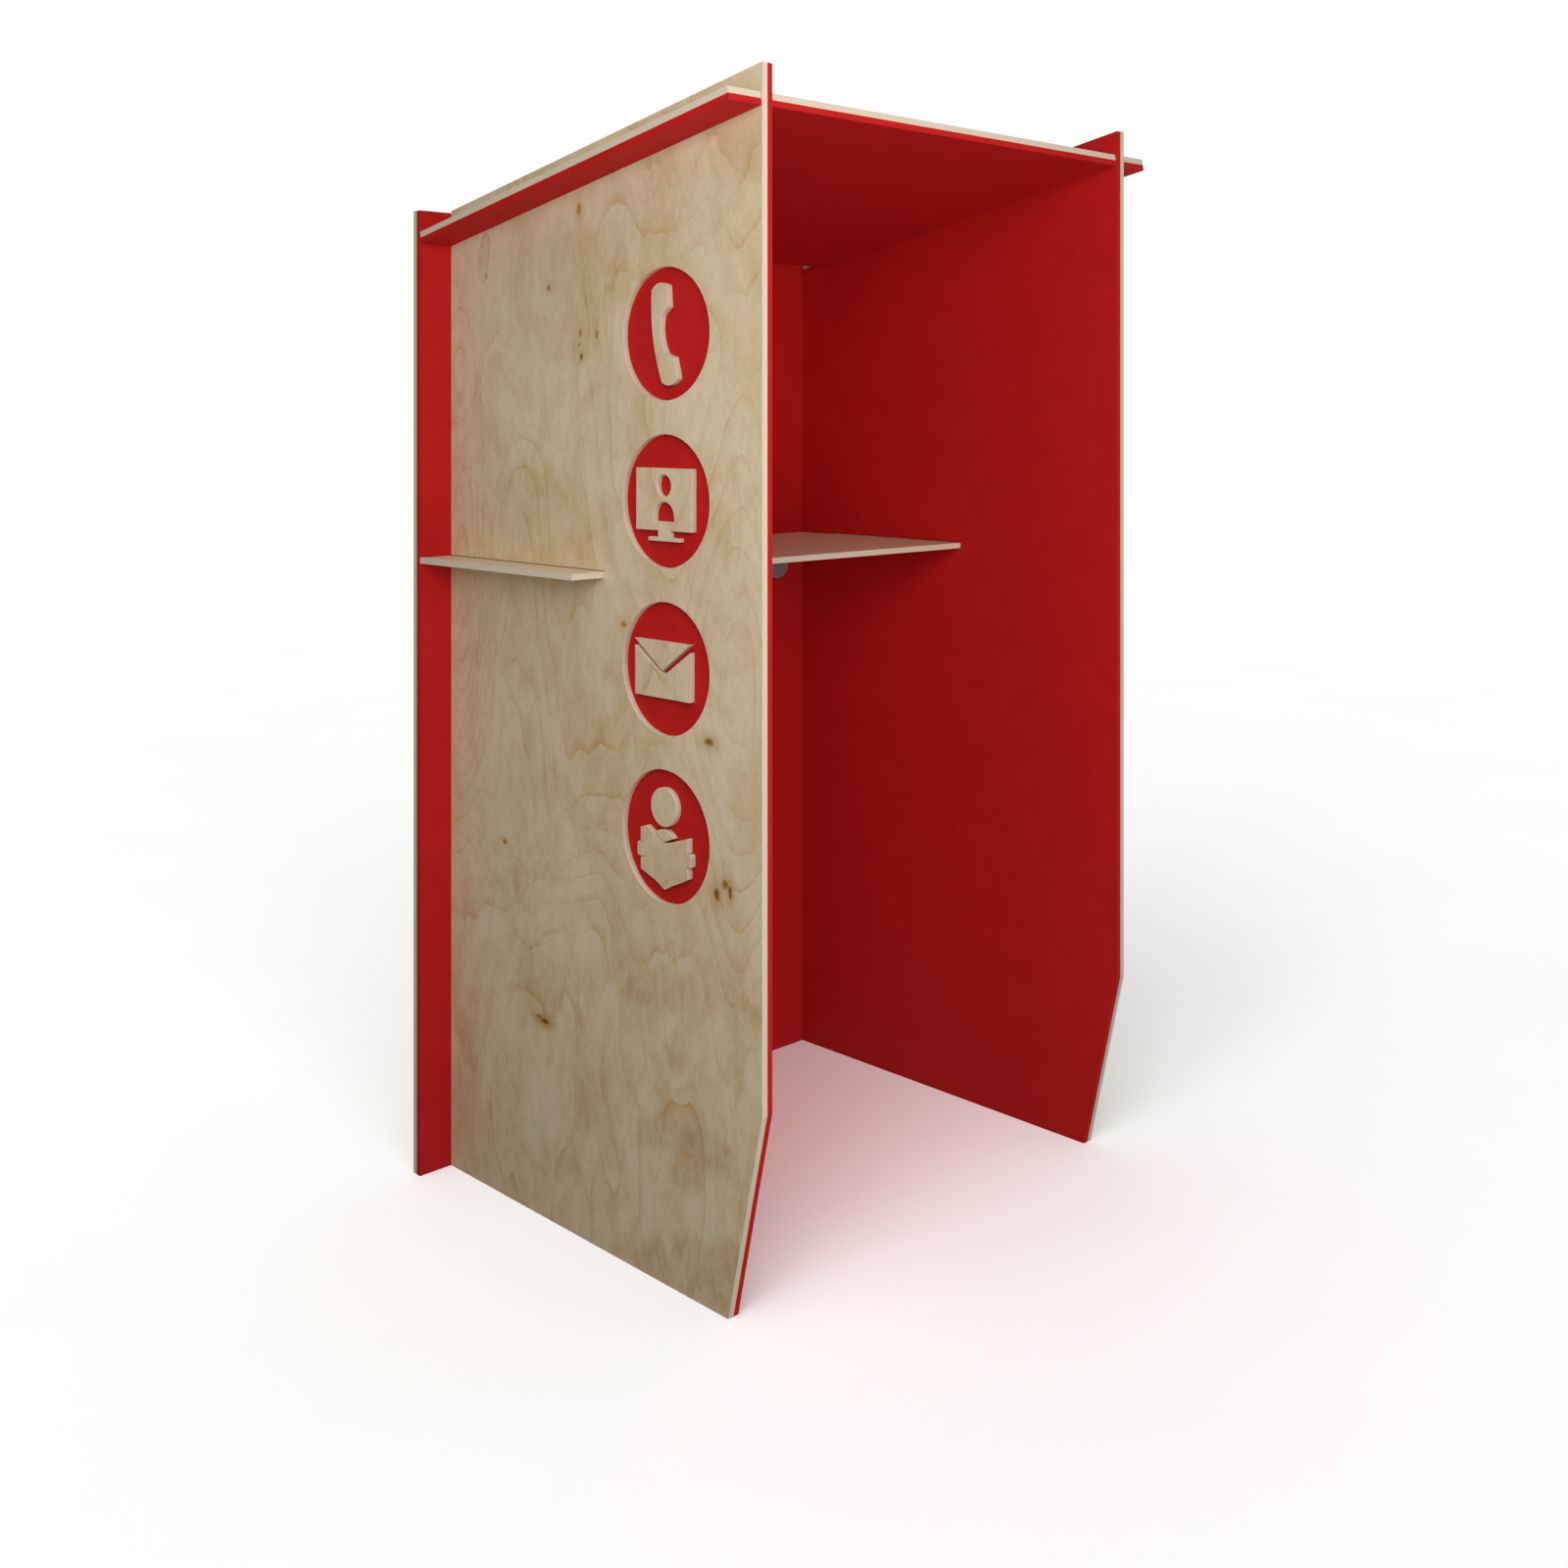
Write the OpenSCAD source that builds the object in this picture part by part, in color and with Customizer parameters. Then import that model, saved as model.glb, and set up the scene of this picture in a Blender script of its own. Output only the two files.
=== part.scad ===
// Open-fronted standing telephone booth made of flat sheets.
// Sides, back and roof are each two bonded sheets: birch plywood outside,
// through-dyed red fibreboard inside. Roof and desk plug into slots in the sides.
// Millimetres. +Z is up, the open front faces -Y, and the origin is on the floor
// in the middle of the footprint.

/* [Booth] */
// Width over the outer faces of the two side panels
booth_w = 1050; // [960:10:1200]
// Depth from the side panels' front edge to the rear face of the back panel
booth_d = 960; // [860:10:1060]
// Height of the side panels at their front edge
front_h = 2150; // [2130:10:2260]
// Thickness of one sheet, every panel being two sheets
sheet_t = 12; // [11:1:15]
// How far roof, desk and back panel stand out beyond the side panels
wing = 75; // [50:5:100]

/* [Side panels] */
// Height of the slanting cut at the front foot
foot_cut_h = 372; // [250:1:450]
// Depth of the slanting cut along the floor
foot_cut_d = 85; // [50:1:150]

/* [Roof] */
// Fall of the roof towards the back, in degrees
roof_fall = 10.5; // [6:0.5:11]
// Height of side panel above the roof, square to the slope
parapet = 48; // [36:1:60]
// Set-back of the roof's lower front corner from the side panels' front edge
roof_inset = 1; // [0:0.5:5]
// Open gap between the roof's rear edge and the back panel
vent_gap = 68; // [40:1:100]
// Play of a side panel in its roof slot, and of the roof in a side panel's slot
slot_play = 1; // [0.5:0.25:2]

/* [Desk] */
// Height of the desk top
desk_h = 1263; // [1240:1:1290]
// Depth of the desk, from its front edge to the back panel
desk_d = 508; // [350:1:560]
// Play above the desk in its slots
desk_play = 1.5; // [0.5:0.25:3]

/* [Windows and pictograms] */
// Diameter of the round windows in the left birch sheet
window_d = 240; // [230:5:260]
// Distance of the window centres from the front edge
window_y = 253; // [240:1:300]
// Height of the lowest window's centre
window_low = 800; // [790:5:830]
// Spacing of the window centres
window_pitch = 300; // [290:5:300]
// Lean of the telephone handset, in degrees
handset_lean = 9.75; // [0:0.25:15]

/* [Cable grommet] */
// Sideways place of the grommet on the back panel
grommet_x = 414; // [300:1:430]
// Height of the grommet's centre
grommet_z = 1189; // [1150:1:1190]
// Diameter of the grommet's flange
grommet_d = 70; // [66:1:74]
// Diameter of the hole through the back panel
grommet_hole_d = 60; // [58:1:61]

/* [Screws] */
// Diameter of the screw shank
screw_d = 5; // [4:0.5:6]
// Length of the screws
screw_len = 60; // [45:5:70]
// Number of screws into each side panel below the desk
screws_below = 4; // [2:1:5]
// Number of screws into each side panel above the desk
screws_above = 3; // [2:1:4]

/* [Hidden] */
$fn = 64;
eps = 0.05;

// Panels: two sheets each, and the places that follow from them.
panel_t = 2 * sheet_t;
side_d = booth_d - panel_t;
front_y = -booth_d / 2;
back_face_y = front_y + side_d;
rear_y = booth_d / 2;
full_w = booth_w + 2 * wing;
inner_w = booth_w - 2 * panel_t;
back_h = front_h - booth_d * tan(roof_fall);

// Roof: laid out in its own sloping plane, from the front edge backwards.
roof_z0 = front_h - (parapet + panel_t) / cos(roof_fall) - roof_inset * tan(roof_fall);
roof_len = (side_d - roof_inset - panel_t * sin(roof_fall)) / cos(roof_fall);
roof_half = roof_len / 2;
roof_vent_at = (side_d - vent_gap - roof_inset) / cos(roof_fall);

// Screws: heads flush with the rear face, shanks in the middle of a sheet's edge.
screw_play = 0.1;
screw_head_r = screw_d;
screw_tip = 6;
socket_r = 2.3;
socket_depth = 2.5;
side_screw_x = booth_w / 2 - sheet_t / 2;
screw_grip = screw_len - panel_t;
roof_back_z = roof_z0 - (side_d - roof_inset) * tan(roof_fall);
wing_screw_x = (booth_w + wing) / 2;
wing_screw_z = roof_back_z + screw_grip / 2 * tan(roof_fall) + 1.5 * sheet_t / cos(roof_fall);
lowest_screw = 150;
screw_to_desk = 100;
screw_to_roof = 50;
desk_screw_z = desk_h - sheet_t / 2;
desk_screws_n = 4;
desk_screw_end = 75;

// Grommet: stepped bore, widest where the cap turns.
flange_t = 2.5;
sleeve_len = 22;
cap_seat_r = grommet_d / 2 - 3.2;
cap_seat_z = -1;
cap_r = cap_seat_r - 0.2;
cap_t = 2.1;
turn_r = 27.5;
turn_play = 0.05;
turn_len = 6.2;
skirt_t = 2;
skirt_len = 5.9;
bead_r = 0.5;
bead_z = 3.5;
shutter_t = 2;
shutter_r = 26.5;
shutter_edge = 7;
rear_bore_r = 25.5;
notch_w = 18;
notch_in = 17;

// Reader's free hand, a separate cut-out in a pocket of the newspaper.
hand_low = [58, -45.5];
hand_high = [77.7, -20];
hand_r = 4;

// Side of the booth that a sheet belongs to.
LEFT = -1;
RIGHT = 1;

function window_z(k) = window_low + k * window_pitch;

// Evenly spaced places from a to b, both ends included.
function spread(a, b, n) = [for (i = [0:n - 1]) a + (b - a) * i / (n - 1)];

// Heights of the screws into a side panel, and places of those into the desk.
screw_rows = concat(
    spread(lowest_screw, desk_h - screw_to_desk, screws_below),
    spread(desk_h + screw_to_desk, roof_back_z - screw_to_roof, screws_above)
);
desk_columns = spread(desk_screw_end - inner_w / 2, inner_w / 2 - desk_screw_end, desk_screws_n);

// Points of an arc from a to b that rises to the right of the line a-b.
function bow(a, b, rise, n = 12) =
    let (d = b - a)
    let (c = norm(d))
    let (r = (c * c / 4 + rise * rise) / (2 * rise))
    let (side = [d.y, -d.x] / c)
    let (centre = (a + b) / 2 + side * (rise - r))
    let (half = asin(c / 2 / abs(r)))
    [for (i = [0:n]) let (t = half * (2 * i / n - 1))
        centre + side * r * cos(t) + d / c * abs(r) * sin(t)];

// Carries a drawing of (distance from the front edge, height) to an upright
// sheet that starts at x and is one sheet thick.
module side_sheet(x) {
    translate([x, front_y, 0])
        rotate([90, 0, 90])
            linear_extrude(sheet_t)
                children();
}

// Carries a drawing of (x, height) to a sheet across the back, starting at y.
module back_sheet(y) {
    translate([0, y + sheet_t, 0])
        rotate([90, 0, 0])
            linear_extrude(sheet_t)
                children();
}

// Carries a solid laid out on the roof's lower plane to its sloping place.
module on_roof() {
    translate([0, front_y + roof_inset, roof_z0])
        rotate([-roof_fall, 0, 0])
            children();
}

// Outline of a side panel, with the roof and desk slots open at the rear.
module side_outline() {
    difference() {
        polygon([
            [foot_cut_d, 0],
            [side_d, 0],
            [side_d, front_h - side_d * tan(roof_fall)],
            [0, front_h],
            [0, foot_cut_h]
        ]);
        translate([roof_inset, roof_z0])
            rotate(-roof_fall)
                translate([roof_half, 0])
                    square([roof_len, panel_t + slot_play]);
        translate([side_d - desk_d - slot_play, desk_h - sheet_t])
            square([desk_d + 2 * slot_play, sheet_t + desk_play]);
    }
}

// Outline of a roof sheet: slots for the sides in front, vent gap at the rear.
module roof_outline() {
    difference() {
        translate([-full_w / 2, 0])
            square([full_w, roof_len]);
        for (s = [LEFT, RIGHT])
            translate([s * (booth_w / 2 - sheet_t) - panel_t / 2 - slot_play / 2, -1])
                square([panel_t + slot_play, roof_half + 1 + slot_play]);
        translate([-inner_w / 2, roof_vent_at])
            square([inner_w, roof_len]);
    }
}

// Places children at every screw of the back panel, pointing forward.
module at_side_screws(s) {
    for (z = screw_rows)
        translate([s * side_screw_x, rear_y, z])
            rotate([90, 0, 0])
                children();
}

module at_roof_screws() {
    for (s = [LEFT, RIGHT])
        translate([s * wing_screw_x, rear_y, wing_screw_z])
            rotate([90, 0, 0])
                children();
}

module at_desk_screws() {
    for (x = desk_columns)
        translate([x, rear_y, desk_screw_z])
            rotate([90, 0, 0])
                children();
}

module at_all_screws() {
    at_side_screws(LEFT) children();
    at_side_screws(RIGHT) children();
    at_roof_screws() children();
    at_desk_screws() children();
}

// A countersunk wood screw with a hexagon socket, head flush at z = 0.
module screw() {
    shank_r = screw_d / 2;
    difference() {
        union() {
            cylinder(h = screw_head_r - shank_r, r1 = screw_head_r, r2 = shank_r);
            cylinder(h = screw_len - screw_tip, r = shank_r);
            translate([0, 0, screw_len - screw_tip])
                cylinder(h = screw_tip, r1 = shank_r, r2 = 0.4);
        }
        translate([0, 0, -eps])
            cylinder(h = socket_depth + eps, r = socket_r, $fn = 6);
    }
}

// The hole that a screw runs in, with its countersink.
module screw_hole() {
    hole_r = screw_d / 2 + screw_play;
    rim_r = screw_head_r + screw_play;
    translate([0, 0, -eps])
        cylinder(h = rim_r - hole_r + eps, r1 = rim_r + eps, r2 = hole_r);
    translate([0, 0, -eps])
        cylinder(h = screw_len + 1, r = hole_r);
}

// Places children on the grommet's axis: z = 0 on the red face, z to the rear.
module at_grommet() {
    translate([grommet_x, back_face_y, grommet_z])
        rotate([-90, 0, 0])
            children();
}

module grommet_hole() {
    at_grommet()
        translate([0, 0, -1])
            cylinder(h = panel_t + 2, r = grommet_hole_d / 2);
}

// Carries a pictogram, drawn about its window's centre, into the birch sheet.
module in_window(k) {
    side_sheet(-booth_w / 2)
        translate([window_y, window_z(k)])
            children();
}

// A rectangle between two corners, with rounded corners.
module rounded_box(low, high, r) {
    rise = r * (1 - cos(45));
    polygon(concat(
        bow([high.x - r, low.y], [high.x, low.y + r], rise, 4),
        bow([high.x, high.y - r], [high.x - r, high.y], rise, 4),
        bow([low.x + r, high.y], [low.x, high.y - r], rise, 4),
        bow([low.x, low.y + r], [low.x + r, low.y], rise, 4)
    ));
}

module side_board(s, layer) {
    x = layer == 0 ? booth_w / 2 - sheet_t : booth_w / 2 - panel_t;
    difference() {
        side_sheet(s > 0 ? x : -x - sheet_t)
            children();
        if (layer == 0)
            at_side_screws(s) screw_hole();
    }
}

module left_side_panel() {
    color("burlywood")
        side_board(LEFT, 0)
            difference() {
                side_outline();
                for (k = [0:3])
                    translate([window_y, window_z(k)])
                        circle(d = window_d, $fn = 128);
            }
}

module left_side_liner() {
    color("firebrick") side_board(LEFT, 1) side_outline();
}

module right_side_panel() {
    color("burlywood") side_board(RIGHT, 0) side_outline();
}

module right_side_liner() {
    color("firebrick") side_board(RIGHT, 1) side_outline();
}

module back_board(y) {
    difference() {
        back_sheet(y)
            translate([-full_w / 2, 0])
                square([full_w, back_h]);
        at_all_screws() screw_hole();
        grommet_hole();
    }
}

module back_panel() {
    color("burlywood") back_board(back_face_y + sheet_t);
}

module back_liner() {
    color("firebrick") back_board(back_face_y);
}

module roof_board(layer) {
    difference() {
        on_roof()
            translate([0, 0, layer * sheet_t])
                linear_extrude(sheet_t)
                    roof_outline();
        at_roof_screws() screw_hole();
    }
}

module roof_liner() {
    color("firebrick") roof_board(0);
}

module roof_panel() {
    color("burlywood") roof_board(1);
}

module desk_shelf() {
    color("burlywood")
        difference() {
            translate([-full_w / 2, back_face_y - desk_d, desk_h - sheet_t])
                cube([full_w, desk_d, sheet_t]);
            at_desk_screws() screw_hole();
        }
}

// Telephone handset: bowed back, two cups with domed ends, a hollow grip.
module handset_icon() {
    half = 84.5;
    cup_w = 44.4;
    cup_face = [-41, 45.7];
    cup_step = [-26, 38.3];
    grip = [-19, 33];
    flip = [1, -1];
    color("wheat")
        in_window(3)
            translate([23.5, -4.5])
                rotate(-handset_lean)
                    polygon(concat(
                        bow([0, -half], [0, half], 10.5),
                        bow([0, half], [-cup_w, half], 8.8),
                        [cup_face, cup_step],
                        bow(grip, [grip.x, -grip.y], -7),
                        [[cup_step.x, -cup_step.y], [cup_face.x, -cup_face.y]],
                        bow([-cup_w, -half], [0, -half], 8.8)
                    ));
}

// Computer screen on a foot, with a head-and-shoulders cut out of it.
module monitor_icon() {
    screen = [153, 112];
    screen_low = [-72, -53];
    neck = [31, 13];
    foot = [85, 7];
    middle = 4;
    person_x = 3.5;
    head_y = 27.5;
    shoulder_r = 28.2;
    shoulder_y = -29.2;
    chest = 7.5;
    color("wheat")
        in_window(2)
            difference() {
                union() {
                    translate(screen_low) square(screen);
                    translate([middle - neck.x / 2, screen_low.y - neck.y + 1]) square(neck);
                    translate([middle - foot.x / 2, screen_low.y - neck.y - foot.y + 1]) square(foot);
                }
                translate([person_x, head_y]) circle(d = 40);
                intersection() {
                    translate([person_x, shoulder_y]) circle(r = shoulder_r);
                    translate([-50, shoulder_y]) square([100, 50]);
                }
                translate([person_x - shoulder_r, shoulder_y - chest])
                    square([2 * shoulder_r, chest + eps]);
            }
}

module envelope_flap() {
    color("wheat")
        in_window(1)
            polygon([[-66.6, 48.4], [8, -4], [85, 48.4]]);
}

module envelope_body() {
    color("wheat")
        in_window(1)
            polygon([[-67.7, 35], [-67.7, -53.3], [84.1, -53.3], [84.1, 36], [4, -12.5]]);
}

// Figure reading a newspaper: head, shoulders, paper with one hand, other hand.
module reader_head() {
    color("wheat") in_window(0) translate([4, 52]) circle(d = 70);
}

module reader_shoulders() {
    color("wheat") in_window(0) polygon(concat([[4, -10.2]], bow([29, 3], [-23, 0], 10)));
}

// The paper's left edge carries the other hand, set off by two small nicks.
module newspaper_outline() {
    left = -70;
    edge = -61.6;
    top = -21.2;
    bottom = -44.5;
    nick = 3.5;
    nick_h = 1.5;
    rise = hand_r * (1 - cos(45));
    polygon(concat(
        [[edge, 6.6], [2, -13.3], [53.7, 11.6], [68.3, 6.7], [68, -69]],
        [[31, -81], [17, -87], [2.5, -95.5], [-17, -85], [-31, -80], [edge, -65.6]],
        [[edge, bottom - nick_h], [edge + nick, bottom - nick_h], [edge + nick, bottom]],
        bow([left + hand_r, bottom], [left, bottom + hand_r], -rise, 4),
        bow([left, top - hand_r], [left + hand_r, top], -rise, 4),
        [[edge + nick, top], [edge + nick, top + nick_h], [edge, top + nick_h]]
    ));
}

module reader_newspaper() {
    gap = 1.5;
    color("wheat")
        in_window(0)
            difference() {
                newspaper_outline();
                rounded_box(hand_low - [gap, gap], hand_high + [gap, gap], hand_r + gap);
            }
}

module reader_hand() {
    color("wheat") in_window(0) rounded_box(hand_low, hand_high, hand_r);
}

// Fixed part of the grommet: flange, tube and the shutter behind the notch.
module grommet_sleeve() {
    flange_r = grommet_d / 2;
    tube_r = grommet_hole_d / 2 - 0.1;
    rim = bow([cap_seat_r + 0.6, -flange_t], [flange_r, -flange_t / 3], 0.5, 6);
    color("dimgray")
        at_grommet() {
            rotate_extrude($fn = 96)
                polygon(concat(
                    [[turn_r, cap_seat_z], [cap_seat_r, cap_seat_z], [cap_seat_r, -flange_t + 0.3]],
                    rim,
                    [
                        [flange_r, 0], [tube_r, 0], [tube_r, sleeve_len],
                        [rear_bore_r, sleeve_len], [rear_bore_r, turn_len + shutter_t],
                        [shutter_r, turn_len + shutter_t], [shutter_r, turn_len],
                        [turn_r, turn_len], [turn_r, bead_z + 0.8],
                        [turn_r + bead_r, bead_z + 0.5], [turn_r + bead_r, bead_z - 0.5],
                        [turn_r, bead_z - 0.8]
                    ]
                ));
            translate([0, 0, turn_len])
                intersection() {
                    cylinder(h = shutter_t, r = shutter_r + 1);
                    translate([-turn_r, -turn_r - shutter_edge, 0])
                        cube([2 * turn_r, turn_r, shutter_t]);
                }
        }
}

// Turning part of the grommet: disc, snap-in skirt and the cable notch.
module grommet_cap() {
    low = cap_seat_z - 0.1;
    skirt_r = turn_r - turn_play;
    bead = bead_r - 0.1;
    color("darkslategray")
        at_grommet()
            difference() {
                rotate_extrude($fn = 96)
                    polygon([
                        [0, low - cap_t], [cap_r - 1.2, low - cap_t], [cap_r - 0.35, low - cap_t + 0.35],
                        [cap_r, low - cap_t + 1.2], [cap_r, low], [skirt_r, low],
                        [skirt_r, bead_z - 0.7], [skirt_r + bead, bead_z - 0.4],
                        [skirt_r + bead, bead_z + 0.4], [skirt_r, bead_z + 0.7],
                        [skirt_r, skirt_len], [skirt_r - skirt_t, skirt_len],
                        [skirt_r - skirt_t, low + 0.4], [0, low + 0.4]
                    ]);
                translate([0, -notch_in, -10])
                    cylinder(h = 30, r = notch_w / 2);
                translate([-notch_w / 2, -notch_in - turn_r, -10])
                    cube([notch_w, turn_r, 30]);
            }
}

module left_side_screws() {
    color("silver") at_side_screws(LEFT) screw();
}

module right_side_screws() {
    color("silver") at_side_screws(RIGHT) screw();
}

module roof_screws() {
    color("silver") at_roof_screws() screw();
}

module desk_screws() {
    color("silver") at_desk_screws() screw();
}

left_side_panel();
left_side_liner();
right_side_panel();
right_side_liner();
back_panel();
back_liner();
roof_panel();
roof_liner();
desk_shelf();
handset_icon();
monitor_icon();
envelope_flap();
envelope_body();
reader_head();
reader_shoulders();
reader_newspaper();
reader_hand();
grommet_sleeve();
grommet_cap();
left_side_screws();
right_side_screws();
roof_screws();
desk_screws();
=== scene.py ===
import math
import bpy
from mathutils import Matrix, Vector

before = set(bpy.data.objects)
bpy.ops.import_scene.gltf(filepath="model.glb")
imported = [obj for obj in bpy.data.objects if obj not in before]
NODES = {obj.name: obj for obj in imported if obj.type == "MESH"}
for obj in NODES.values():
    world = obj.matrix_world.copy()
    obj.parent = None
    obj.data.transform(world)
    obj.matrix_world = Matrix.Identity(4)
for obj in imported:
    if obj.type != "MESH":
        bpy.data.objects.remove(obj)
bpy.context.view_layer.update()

RIGHT = (1, 0, 0)
LEFT = (-1, 0, 0)
REARWARD = (0, 1, 0)
UP = (0, 0, 1)
ROOF_FALL = math.radians(10.5)
DOWN_THE_ROOF = (0, math.cos(ROOF_FALL), -math.sin(ROOF_FALL))


# ---------------------------------------------------------------- camera

# A level view from eye height: the camera's place in metres, its turn about the vertical in
# degrees, the lens and sensor in millimetres, and the vertical shift in sensor widths.
EYE = (-2.5265, -2.5895, 1.5562)
TURN = -44.216
LENS = 39.66
SENSOR_WIDTH = 36
FRAMING_SHIFT = -0.236
LEVEL = math.radians(90)


def make_camera():
    data = bpy.data.cameras.new("camera")
    data.lens = LENS
    data.sensor_width = SENSOR_WIDTH
    data.shift_y = FRAMING_SHIFT
    camera = bpy.data.objects.new("camera", data)
    camera.location = EYE
    camera.rotation_euler = (LEVEL, 0, math.radians(TURN))
    bpy.context.scene.collection.objects.link(camera)
    bpy.context.scene.camera = camera


# ---------------------------------------------------------------- node trees

class Graph:
    """A node tree that is built call by call. Each call returns one output socket."""

    def __init__(self, tree):
        self.tree = tree
        tree.nodes.clear()

    def add(self, kind, inputs=None, out=0, **settings):
        node = self.tree.nodes.new("ShaderNode" + kind)
        for name, value in settings.items():
            setattr(node, name, value)
        for key, value in (inputs or {}).items():
            if isinstance(value, bpy.types.NodeSocket):
                self.tree.links.new(value, node.inputs[key])
            else:
                node.inputs[key].default_value = value
        return node.outputs[out] if node.outputs else None

    def math(self, operation, a, b=0.0, clamp=False):
        return self.add("Math", {0: a, 1: b}, operation=operation, use_clamp=clamp)

    def dot(self, a, b):
        return self.add("VectorMath", {0: a, 1: b}, out="Value", operation="DOT_PRODUCT")

    def vector(self, x, y, z):
        return self.add("CombineXYZ", {"X": x, "Y": y, "Z": z})

    def scaled(self, vector, factors):
        return self.add("VectorMath", {0: vector, 1: factors}, operation="MULTIPLY")

    def length(self, vector):
        return self.add("VectorMath", {0: vector}, out="Value", operation="LENGTH")

    def centred(self, vector, centre, half):
        """The vector measured from a centre, in units of the half size on either axis."""
        factors = (1 / half[0], 1 / half[1], 0)
        shift = (-centre[0] / half[0], -centre[1] / half[1], 0)
        return self.add("VectorMath", {0: vector, 1: factors, 2: shift}, operation="MULTIPLY_ADD")

    def noise(self, vector, scale, detail=2.0, roughness=0.5, distortion=0.0):
        inputs = {"Vector": vector, "Scale": scale, "Detail": detail}
        inputs |= {"Roughness": roughness, "Distortion": distortion}
        return self.add("TexNoise", inputs)

    def remap(self, value, span, to=(0.0, 1.0), shape="SMOOTHSTEP"):
        """The value carried from one span to another, and held at the ends."""
        inputs = {0: value, 1: span[0], 2: span[1], 3: to[0], 4: to[1]}
        return self.add("MapRange", inputs, interpolation_type=shape, clamp=True)

    def mix(self, factor, a, b):
        return self.add("Mix", {0: factor, 6: a, 7: b}, out=2, data_type="RGBA")

    def bump(self, height, strength, distance):
        return self.add("Bump", {"Height": height, "Strength": strength, "Distance": distance})


def rgb(red, green, blue):
    return (red, green, blue, 1.0)


def new_material(name):
    material = bpy.data.materials.new(name)
    material.use_nodes = True
    return material, Graph(material.node_tree)


def finish_shader(graph, color, roughness, normal, **sockets):
    """Adds the Principled shader. Values that are the same all over sit on its own sockets."""
    inputs = {"Base Color": color, "Roughness": roughness, "Normal": normal}
    for name, value in sockets.items():
        inputs[name.replace("_", " ")] = value
    surface = graph.add("BsdfPrincipled", inputs)
    graph.add("OutputMaterial", {"Surface": surface})


# ---------------------------------------------------------------- colours

BIRCH_LIGHT = rgb(0.75, 0.62, 0.43)
BIRCH_DARK = rgb(0.54, 0.34, 0.125)
BIRCH_EDGE = rgb(0.74, 0.64, 0.49)
BIRCH_EDGE_DARK = rgb(0.66, 0.54, 0.39)
STAIN = rgb(0.47, 0.275, 0.10)
KNOT_RING = rgb(0.46, 0.26, 0.08)
KNOT = rgb(0.19, 0.085, 0.018)
RED = rgb(0.56, 0.0135, 0.0125)
RED_DEEP = rgb(0.50, 0.010, 0.009)
GROMMET_RING = rgb(0.34, 0.31, 0.26)
GROMMET_RING_DEEP = rgb(0.30, 0.27, 0.23)
GROMMET_DISC = rgb(0.24, 0.23, 0.21)
GROMMET_DISC_DEEP = rgb(0.21, 0.20, 0.18)
STEEL = rgb(0.62, 0.61, 0.58)
STEEL_DEEP = rgb(0.48, 0.47, 0.44)


# ---------------------------------------------------------------- birch plywood

PLIES = 9
# Rings in one unit of the height field, for the plain rings and for the finer ones between.
RINGS = 10
FINE_RINGS = 37
# How brown a ring gets where it darkens slowly, at its sharp end, and at the finer lines.
RING_SHADE = 0.17
RING_END = 0.46
FINE_RING = 0.14
# The veneer's colour in layers: waves in a metre across the grain and along it, detail,
# roughness and distortion, and then the most brown that the layer adds.
VENEER = {
    "tint": ((2.6, 1.7, 3, 0.55, 1.2), 0.26),
    "cloud": ((9, 6, 3, 0.6, 1.5), 0.24),
    "fleck": ((42, 20, 3, 0.65, 0.8), 0.20),
    "pores": ((260, 90, 2, 0.7, 0.0), 0.12),
    "fibre": ((420, 24, 3, 0.7, 0.0), 0.07),
}


def sheet_faces(node, through):
    """How far along its thickness a sheet's two faces lie, in metres."""
    places = [vertex.co.dot(through) for vertex in NODES[node].data.vertices]
    return min(places), max(places)


def sheet_axes(graph, across, along, through):
    """Coordinates on a sheet: across the grain, along it and through the thickness, in metres,
    and how much of an edge the surface is, from 0 on the two faces to 1 on the edges."""
    place = graph.add("TexCoord", out="Object")
    normal = graph.add("TexCoord", out="Normal")
    u = graph.dot(place, across)
    v = graph.dot(place, along)
    w = graph.dot(place, through)
    facing = graph.math("ABSOLUTE", graph.dot(normal, through))
    return u, v, w, graph.remap(facing, (0.85, 0.55))


def streaks(graph, place, across, along, detail=2, roughness=0.5, distortion=0.0):
    """Noise with so many waves in a metre across the grain and along it."""
    stretched = graph.scaled(place, (across, along, 1))
    return graph.noise(stretched, 1.0, detail, roughness, distortion)


def ring_height(graph, place, hills):
    """A smooth height field. Its contour lines are the growth rings of a lathe-cut veneer."""
    broad = streaks(graph, place, 2.6, 0.9)
    wobble = streaks(graph, place, 10, 4)
    ragged = streaks(graph, place, 70, 25)
    height = graph.math("MULTIPLY", broad, 0.8 if hills else 1.6)
    height = graph.math("ADD", height, graph.math("MULTIPLY", wobble, 0.12))
    height = graph.math("ADD", height, graph.math("MULTIPLY", ragged, 0.012))
    for centre, half, rise in hills:
        away = graph.length(graph.centred(place, centre, half))
        hill = graph.remap(away, (0, 1), (rise, 0), "SMOOTHERSTEP")
        height = graph.math("ADD", height, hill)
    return height


def ring_lines(graph, place, height):
    """How brown the rings are: each darkens slowly to a sharp end, with finer lines between,
    and all of them come and go over the sheet."""
    ring = graph.math("FRACT", graph.math("MULTIPLY", height, RINGS))
    shade = graph.math("MULTIPLY", graph.remap(ring, (0.45, 1.0)), RING_SHADE)
    end = graph.math("MULTIPLY", graph.math("POWER", ring, 14), RING_END)
    fine = graph.math("POWER", graph.math("FRACT", graph.math("MULTIPLY", height, FINE_RINGS)), 4)
    lines = graph.math("ADD", graph.math("ADD", shade, end), graph.math("MULTIPLY", fine, FINE_RING))
    shown = graph.remap(streaks(graph, place, 9, 5, 4, 0.7), (0.3, 0.7), (0.1, 1.0))
    return graph.math("MULTIPLY", lines, shown)


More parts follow.
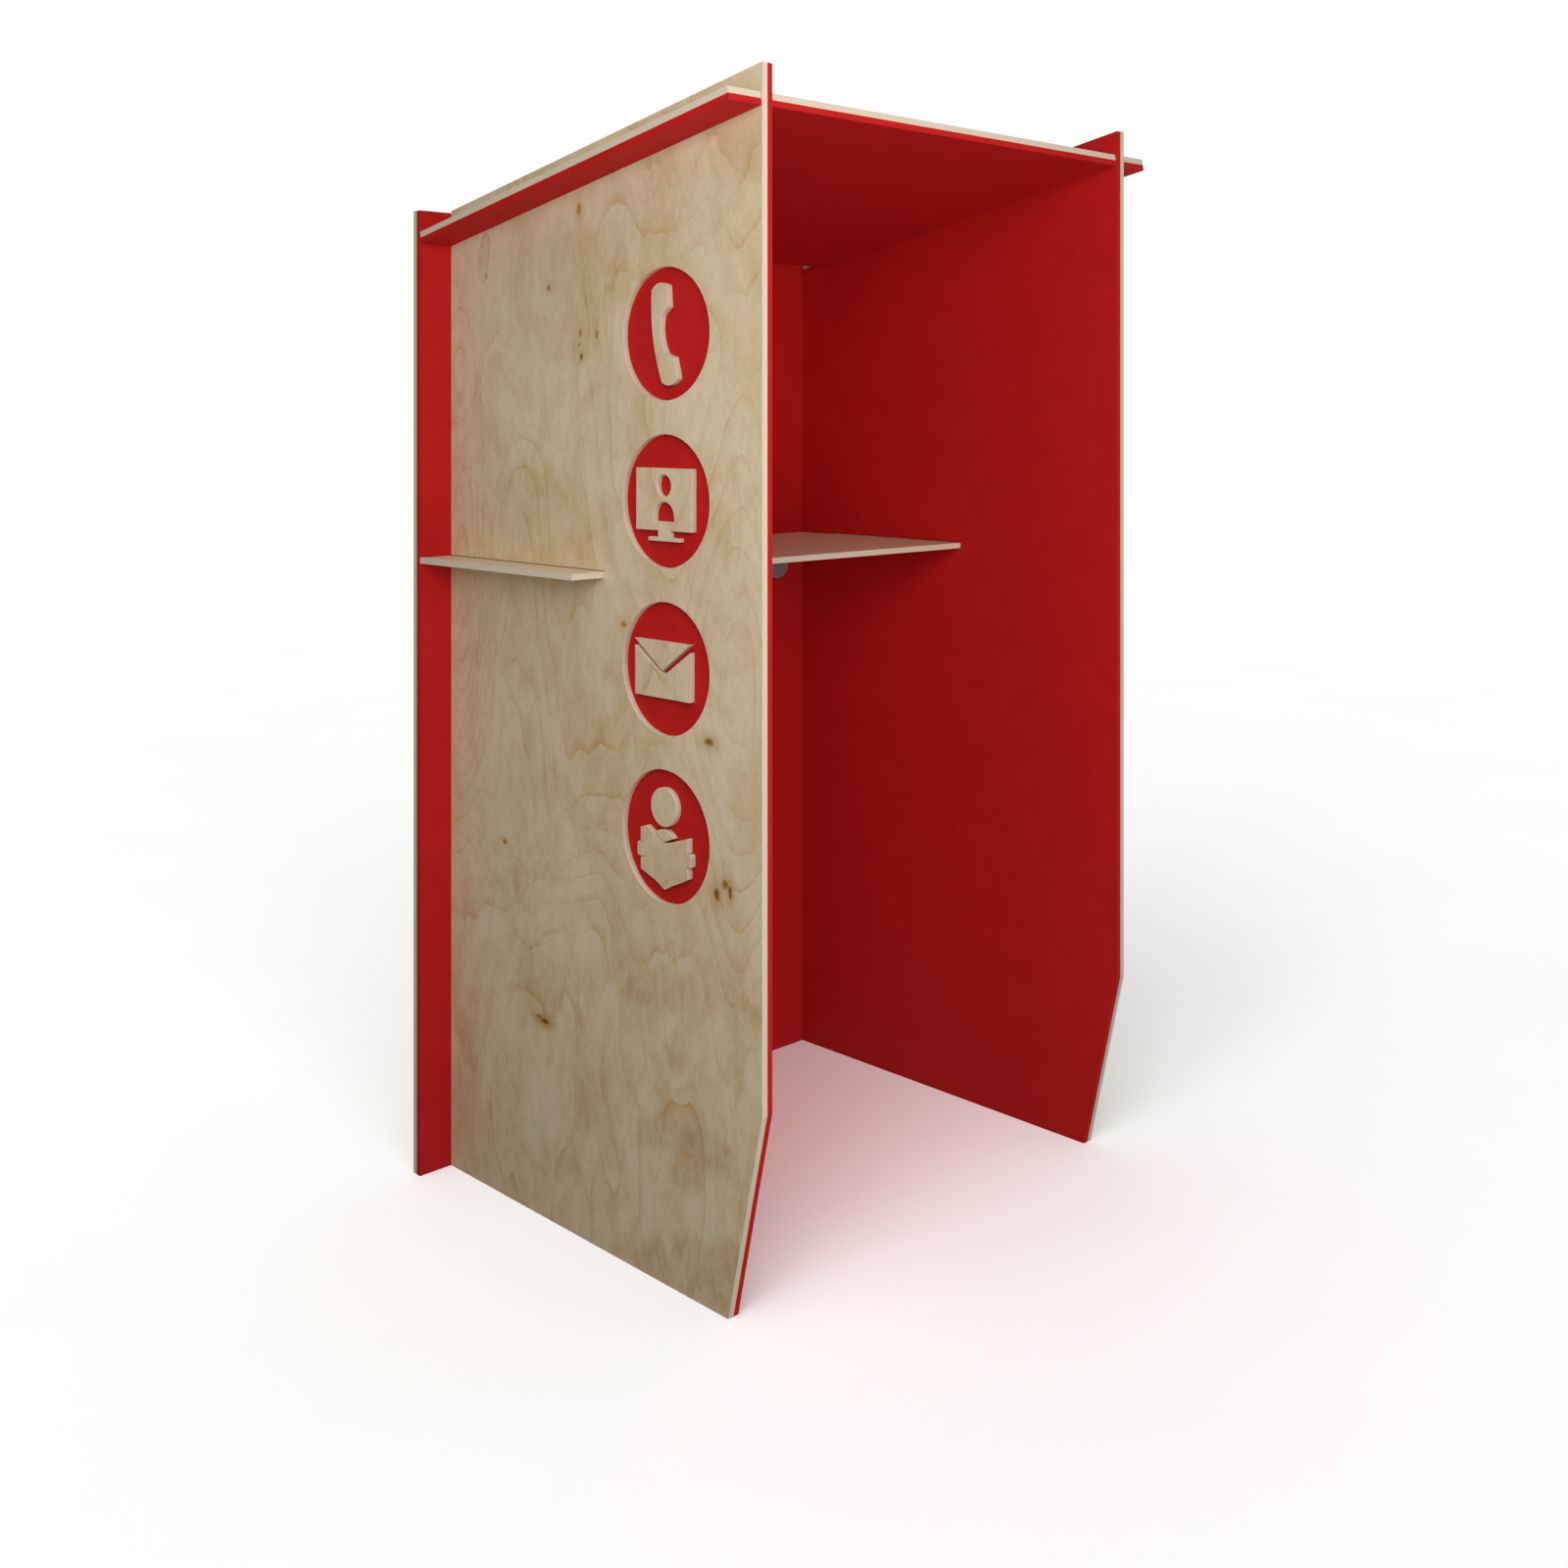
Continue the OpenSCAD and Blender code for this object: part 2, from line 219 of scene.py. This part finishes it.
def warped(graph, place, scale, reach):
    """The place pushed about by up to half the reach, so that outlines come out crooked."""
    push = graph.add("TexNoise", {"Vector": place, "Scale": scale, "Detail": 3.0}, out="Color")
    push = graph.add("VectorMath", {0: push, 1: (0.5, 0.5, 0.5)}, operation="SUBTRACT")
    return graph.add("VectorMath", {0: push, 1: (reach, reach, 0), 2: place}, operation="MULTIPLY_ADD")


def spots(graph, place, marks, core, halo):
    """How brown the sheet is round each mark: full inside the core, fading over the halo."""
    total = None
    for centre, half, depth in marks:
        away = graph.length(graph.centred(place, centre, half))
        inside = graph.remap(away, (core, 1.0), (depth, 0.0))
        around = graph.remap(away, (0.0, halo), (0.3 * depth, 0.0))
        here = graph.math("MAXIMUM", inside, around)
        total = here if total is None else graph.math("MAXIMUM", total, here)
    return total


def stained(graph, face, place, layers, stains):
    """The face with golden brown patches, broken up by the veneer's own clouds and flecks."""
    blot = spots(graph, warped(graph, place, scale=5, reach=0.22), stains, core=0.35, halo=1.9)
    blot = graph.math("MULTIPLY", blot, graph.remap(layers["cloud"], (0.3, 0.65), (0.45, 1.0)))
    blot = graph.math("MULTIPLY", blot, graph.remap(layers["fleck"], (0.3, 0.7), (0.5, 1.1)))
    return graph.mix(blot, face, STAIN)


def knotted(graph, face, place, knots):
    """The face with knots, each a dark spot in a golden ring."""
    mark = spots(graph, warped(graph, place, scale=90, reach=0.008), knots, core=0.2, halo=3.2)
    face = graph.mix(graph.remap(mark, (0.0, 0.35)), face, KNOT_RING)
    return graph.mix(graph.remap(mark, (0.25, 0.8)), face, KNOT)


def cut_plies(graph, w, faces):
    """The colour of a cut edge: plies that lie along and across by turns, light and darker."""
    low, high = faces
    ply = graph.math("MULTIPLY", graph.math("SUBTRACT", w, low), PLIES / (high - low))
    stripe = graph.remap(graph.math("PINGPONG", ply, 1.0), (0.35, 0.65), (0.0, 0.6))
    return graph.mix(stripe, BIRCH_EDGE, BIRCH_EDGE_DARK)


def birch(name, sheet, across, along, seed, hills=(), knots=(), stains=(), depth=1.0):
    """Birch plywood, figured on its faces and striped on its edges. The sheet's node gives the
    place of the plies, and depth is how strong the figure is."""
    material, graph = new_material(name)
    through = Vector(across).cross(Vector(along))
    u, v, w, edge = sheet_axes(graph, across, along, through)
    place = graph.vector(u, v, seed)
    figure = ring_lines(graph, place, ring_height(graph, place, hills))
    layers = {}
    for layer, (shape, most_brown) in VENEER.items():
        layers[layer] = streaks(graph, place, *shape)
        brown = graph.remap(layers[layer], (0.36, 0.72), (-0.02, most_brown))
        figure = graph.math("ADD", figure, brown)
    face = graph.mix(graph.math("MULTIPLY", figure, depth, clamp=True), BIRCH_LIGHT, BIRCH_DARK)
    if stains:
        face = stained(graph, face, place, layers, stains)
    if knots:
        face = knotted(graph, face, place, knots)
    color = graph.mix(edge, face, cut_plies(graph, w, sheet_faces(sheet, through)))
    roughness = graph.remap(layers["fibre"], (0.2, 0.8), (0.48, 0.6))
    normal = graph.bump(layers["fibre"], strength=0.15, distance=0.0002)
    finish_shader(graph, color, roughness, normal, Specular_IOR_Level=0.3)
    return material


# ---------------------------------------------------------------- other materials

def red_board():
    """Through-dyed fibreboard: an even matt red with a fine felted grain."""
    material, graph = new_material("red_board")
    place = graph.add("TexCoord", out="Object")
    grain = graph.noise(place, scale=900, detail=3, roughness=0.6)
    cloud = graph.noise(place, scale=14, detail=3, roughness=0.55)
    grain_share = graph.remap(grain, (0.3, 0.7), (0.0, 0.5))
    cloud_share = graph.remap(cloud, (0.3, 0.7), (0.0, 0.5))
    color = graph.mix(graph.math("ADD", grain_share, cloud_share), RED, RED_DEEP)
    roughness = graph.remap(grain, (0.3, 0.7), (0.6, 0.72))
    normal = graph.bump(grain, strength=0.12, distance=0.0001)
    finish_shader(graph, color, roughness, normal, Specular_IOR_Level=0.12)
    return material


def moulded_plastic(name, base, deep):
    """Spark-eroded moulded plastic: slightly clouded, with a fine even texture."""
    material, graph = new_material(name)
    place = graph.add("TexCoord", out="Object")
    spark = graph.noise(place, scale=2500, detail=2, roughness=0.6)
    cloud = graph.noise(place, scale=90, detail=3)
    color = graph.mix(graph.remap(cloud, (0.3, 0.7)), base, deep)
    roughness = graph.remap(spark, (0.3, 0.7), (0.42, 0.56))
    normal = graph.bump(spark, strength=0.25, distance=0.00008)
    finish_shader(graph, color, roughness, normal, Specular_IOR_Level=0.5)
    return material


def screw_steel():
    """Zinc-plated steel with the fine streaks of the plating."""
    material, graph = new_material("screw_steel")
    place = graph.add("TexCoord", out="Object")
    grain = graph.noise(graph.scaled(place, (1, 8, 1)), scale=900, detail=2, roughness=0.6)
    color = graph.mix(graph.remap(grain, (0.3, 0.7)), STEEL, STEEL_DEEP)
    roughness = graph.remap(grain, (0.3, 0.7), (0.28, 0.42))
    normal = graph.bump(grain, strength=0.2, distance=0.00005)
    finish_shader(graph, color, roughness, normal, Metallic=1.0)
    return material


# ---------------------------------------------------------------- left panel's figure

# Broad shapes in the rings: centre, half size and rise, as (depth, height) in metres.
SIDE_HILLS = (
    ((0.10, 0.10), (3.00, 1.30), 0.75),
    ((0.41, 1.15), (0.11, 0.60), -0.38),
    ((-0.42, 1.10), (0.17, 0.85), -0.42),
    ((0.20, 1.00), (0.17, 0.40), 0.22),
    ((-0.38, 1.55), (0.52, 0.62), 0.40),
    ((0.42, 1.64), (0.07, 0.22), 0.16),
    ((0.20, 1.32), (0.13, 0.30), 0.22),
    ((0.02, 0.55), (0.22, 0.30), 0.20),
    ((0.20, 0.25), (0.26, 0.50), 0.18),
    ((-0.30, 0.10), (0.20, 0.60), -0.22),
)

# Knots: centre, half size and darkness.
SIDE_KNOTS = (
    ((0.024, 1.944), (0.010, 0.022), 0.38),
    ((0.120, 1.800), (0.009, 0.009), 0.44),
    ((0.330, 1.835), (0.004, 0.005), 0.55),
    ((0.020, 1.710), (0.009, 0.015), 0.36),
    ((0.024, 1.688), (0.004, 0.009), 0.44),
    ((0.016, 1.664), (0.008, 0.011), 0.62),
    ((-0.030, 1.705), (0.007, 0.016), 0.44),
    ((-0.110, 1.170), (0.016, 0.011), 0.36),
    ((-0.345, 0.985), (0.018, 0.011), 0.66),
    ((-0.366, 0.724), (0.011, 0.018), 0.72),
    ((-0.388, 0.746), (0.014, 0.012), 0.58),
    ((-0.400, 0.735), (0.007, 0.018), 0.78),
    ((0.265, 0.705), (0.012, 0.008), 0.46),
    ((0.132, 0.380), (0.020, 0.008), 1.00),
    ((0.150, 0.384), (0.016, 0.005), 0.69),
)

# Golden brown patches: centre, half size and depth.
SIDE_STAINS = (
    ((-0.31, 0.25), (0.18, 0.07), 0.60),
    ((-0.27, 0.07), (0.22, 0.07), 0.65),
    ((-0.10, 0.58), (0.06, 0.13), 0.40),
    ((-0.18, 0.51), (0.12, 0.04), 0.45),
    ((-0.23, 0.36), (0.05, 0.12), 0.40),
    ((-0.42, 0.48), (0.06, 0.17), 0.40),
    ((0.16, 0.12), (0.16, 0.04), 0.40),
    ((0.02, 0.20), (0.04, 0.15), 0.38),
    ((0.27, 0.62), (0.08, 0.04), 0.32),
    ((0.42, 0.25), (0.06, 0.30), 0.30),
    ((-0.02, 1.70), (0.06, 0.20), 0.18),
    ((0.14, 1.42), (0.10, 0.12), 0.18),
)


# ---------------------------------------------------------------- pieces

# How far the boards' edges are rounded over, and how close two vertices are to be joined.
EDGE_ROUNDING = 0.0008
WELD_WITHIN = 0.00001
# Triangles that differ by less than this are one flat face, and edges over this are sharp.
FLAT_WITHIN = math.radians(0.5)
SHARP_OVER = math.radians(30)


def give(material, *names):
    for name in names:
        slots = NODES[name].data.materials
        slots.clear()
        slots.append(material)


def soften_edges(name):
    """Joins the split vertices and flat triangles, then rounds the sharp edges over."""
    piece = NODES[name]
    weld = piece.modifiers.new("weld", "WELD")
    weld.merge_threshold = WELD_WITHIN
    flat = piece.modifiers.new("flat", "DECIMATE")
    flat.decimate_type = "DISSOLVE"
    flat.angle_limit = FLAT_WITHIN
    bevel = piece.modifiers.new("bevel", "BEVEL")
    bevel.width = EDGE_ROUNDING
    bevel.segments = 2
    bevel.limit_method = "ANGLE"
    bevel.angle_limit = SHARP_OVER
    bevel.harden_normals = True


def finish_pieces():
    side = birch("birch_side", "left_side_panel", REARWARD, UP, seed=3.0,
                 hills=SIDE_HILLS, knots=SIDE_KNOTS, stains=SIDE_STAINS)
    give(side, "left_side_panel", "handset_icon", "monitor_icon", "envelope_flap", "envelope_body",
         "reader_head", "reader_shoulders", "reader_newspaper", "reader_hand")
    right = birch("birch_right", "right_side_panel", REARWARD, UP, seed=8.0)
    give(right, "right_side_panel")
    give(birch("birch_back", "back_panel", LEFT, UP, seed=5.0), "back_panel")
    give(birch("birch_desk", "desk_shelf", REARWARD, RIGHT, seed=12.0, depth=0.4), "desk_shelf")
    give(birch("birch_roof", "roof_panel", RIGHT, DOWN_THE_ROOF, seed=20.0), "roof_panel")
    give(red_board(), "left_side_liner", "right_side_liner", "back_liner", "roof_liner")
    give(moulded_plastic("grommet_ring", GROMMET_RING, GROMMET_RING_DEEP), "grommet_sleeve")
    give(moulded_plastic("grommet_disc", GROMMET_DISC, GROMMET_DISC_DEEP), "grommet_cap")
    give(screw_steel(), "left_side_screws", "right_side_screws", "roof_screws", "desk_screws")
    for name in NODES:
        if "screws" not in name and "grommet" not in name:
            soften_edges(name)


# ---------------------------------------------------------------- stage

FLOOR_HALF = 40
FLOOR_TONES = (0.90, 0.91)
# The sky's soft lobes: the side that each shines from, how narrow it is, and its strength.
SKY = (
    ((0, 0, 1), 6, 1.7),
    ((0, 0, -1), 1, 0.37),
    ((1, 0, 0), 1, 0.15),
    ((0, 1, 0), 1, 0.1),
)
# Lamps on the booth: name, place, size and strength. They all point at the target.
LAMPS = (
    ("lamp_front_left", (-1.8, -1.6, 2.2), 1.0, 2.28),
    ("lamp_far_front_left", (-2.3, -2.6, 2.2), 1.5, 1.89),
    ("lamp_left", (-3.0, -0.3, 1.6), 1.5, 1.20),
    ("lamp_front_low", (-0.5, -2.6, 0.7), 1.2, 2.80),
    ("lamp_front_high", (0.0, -1.4, 2.3), 0.8, 1.00),
    ("lamp_rear_right", (2.2, 2.6, 2.0), 1.5, 4.5),
)
LAMP_TARGET = Vector((0, 0, 1.2))
# Suns on the floor: name, the side that each shines from, softness in degrees and strength.
FLOOR_SUNS = (
    ("sun_front_left", (-0.612, -0.612, 0.5), 70, 3.1),
    ("sun_left", (-0.866, 0.0, 0.5), 60, 0.85),
)
# Glow that the red walls and the pale ground throw on the floor inside: name, place, size,
# power and colour.
FLOOR_GLOWS = (
    ("glow_walls", (0.05, 0.05, 0.55), 0.9, 0.75, (1.0, 0.05, 0.04)),
    ("glow_foot", (-0.33, -0.42, 0.25), 0.35, 0.10, (1.0, 0.95, 0.94)),
)


def make_sky():
    """Soft light from all round, brighter towards some sides. The camera sees plain white."""
    world = bpy.data.worlds.new("studio")
    world.use_nodes = True
    graph = Graph(world.node_tree)
    direction = graph.add("TexCoord", out="Generated")
    light = 0.0
    for side, power, strength in SKY:
        share = graph.math("MAXIMUM", graph.dot(direction, Vector(side).normalized()), 0.0)
        share = graph.math("MULTIPLY", graph.math("POWER", share, power), strength)
        light = graph.math("ADD", share, light)
    lit = graph.add("Background", {"Color": rgb(1, 1, 1), "Strength": light})
    seen = graph.add("Background", {"Color": rgb(1, 1, 1), "Strength": 1.0})
    camera_ray = graph.add("LightPath", out="Is Camera Ray")
    surface = graph.add("MixShader", {0: camera_ray, 1: lit, 2: seen})
    graph.add("OutputWorld", {"Surface": surface})
    bpy.context.scene.world = world


def make_floor():
    """A pale matt floor that neither shades the booth nor throws light back at it."""
    mesh = bpy.data.meshes.new("floor")
    sides = [(-1, -1), (1, -1), (1, 1), (-1, 1)]
    corners = [(x * FLOOR_HALF, y * FLOOR_HALF, 0) for x, y in sides]
    mesh.from_pydata(corners, [], [(0, 1, 2, 3)])
    floor = bpy.data.objects.new("floor", mesh)
    bpy.context.scene.collection.objects.link(floor)
    material, graph = new_material("floor")
    place = graph.add("TexCoord", out="Object")
    tone = graph.remap(graph.noise(place, scale=1.5), (0.3, 0.7), FLOOR_TONES)
    color = graph.add("CombineColor", {0: tone, 1: tone, 2: tone})
    surface = graph.add("BsdfDiffuse", {"Color": color})
    graph.add("OutputMaterial", {"Surface": surface})
    mesh.materials.append(material)
    floor.visible_diffuse = False
    floor.visible_glossy = False
    floor.visible_shadow = False
    return floor


def add_light(name, kind, energy, pieces):
    """A light that falls on these pieces and on nothing else, and that the camera doesn't see."""
    data = bpy.data.lights.new(name, kind)
    data.energy = energy
    light = bpy.data.objects.new(name, data)
    light.visible_camera = False
    bpy.context.scene.collection.objects.link(light)
    group = bpy.data.collections.new(name + "_lights")
    for piece in pieces:
        group.objects.link(piece)
    light.light_linking.receiver_collection = group
    return light


def aim(light, direction):
    light.rotation_euler = direction.to_track_quat("-Z", "Y").to_euler()


def light_floor(floor):
    for name, place, size, power, color in FLOOR_GLOWS:
        glow = add_light(name, "AREA", power, [floor])
        glow.data.size = size
        glow.data.color = color
        glow.location = place
    for name, side, softness, strength in FLOOR_SUNS:
        sun = add_light(name, "SUN", strength, [floor])
        sun.data.angle = math.radians(softness)
        aim(sun, -Vector(side))


def light_booth():
    for name, place, size, strength in LAMPS:
        direction = LAMP_TARGET - Vector(place)
        lamp = add_light(name, "AREA", strength * direction.length_squared, NODES.values())
        lamp.data.size = size
        lamp.location = place
        aim(lamp, direction)


# ---------------------------------------------------------------- build


make_camera()
make_sky()
light_floor(make_floor())
light_booth()
finish_pieces()
bpy.context.scene.view_settings.view_transform = "Standard"
bpy.context.view_layer.update()
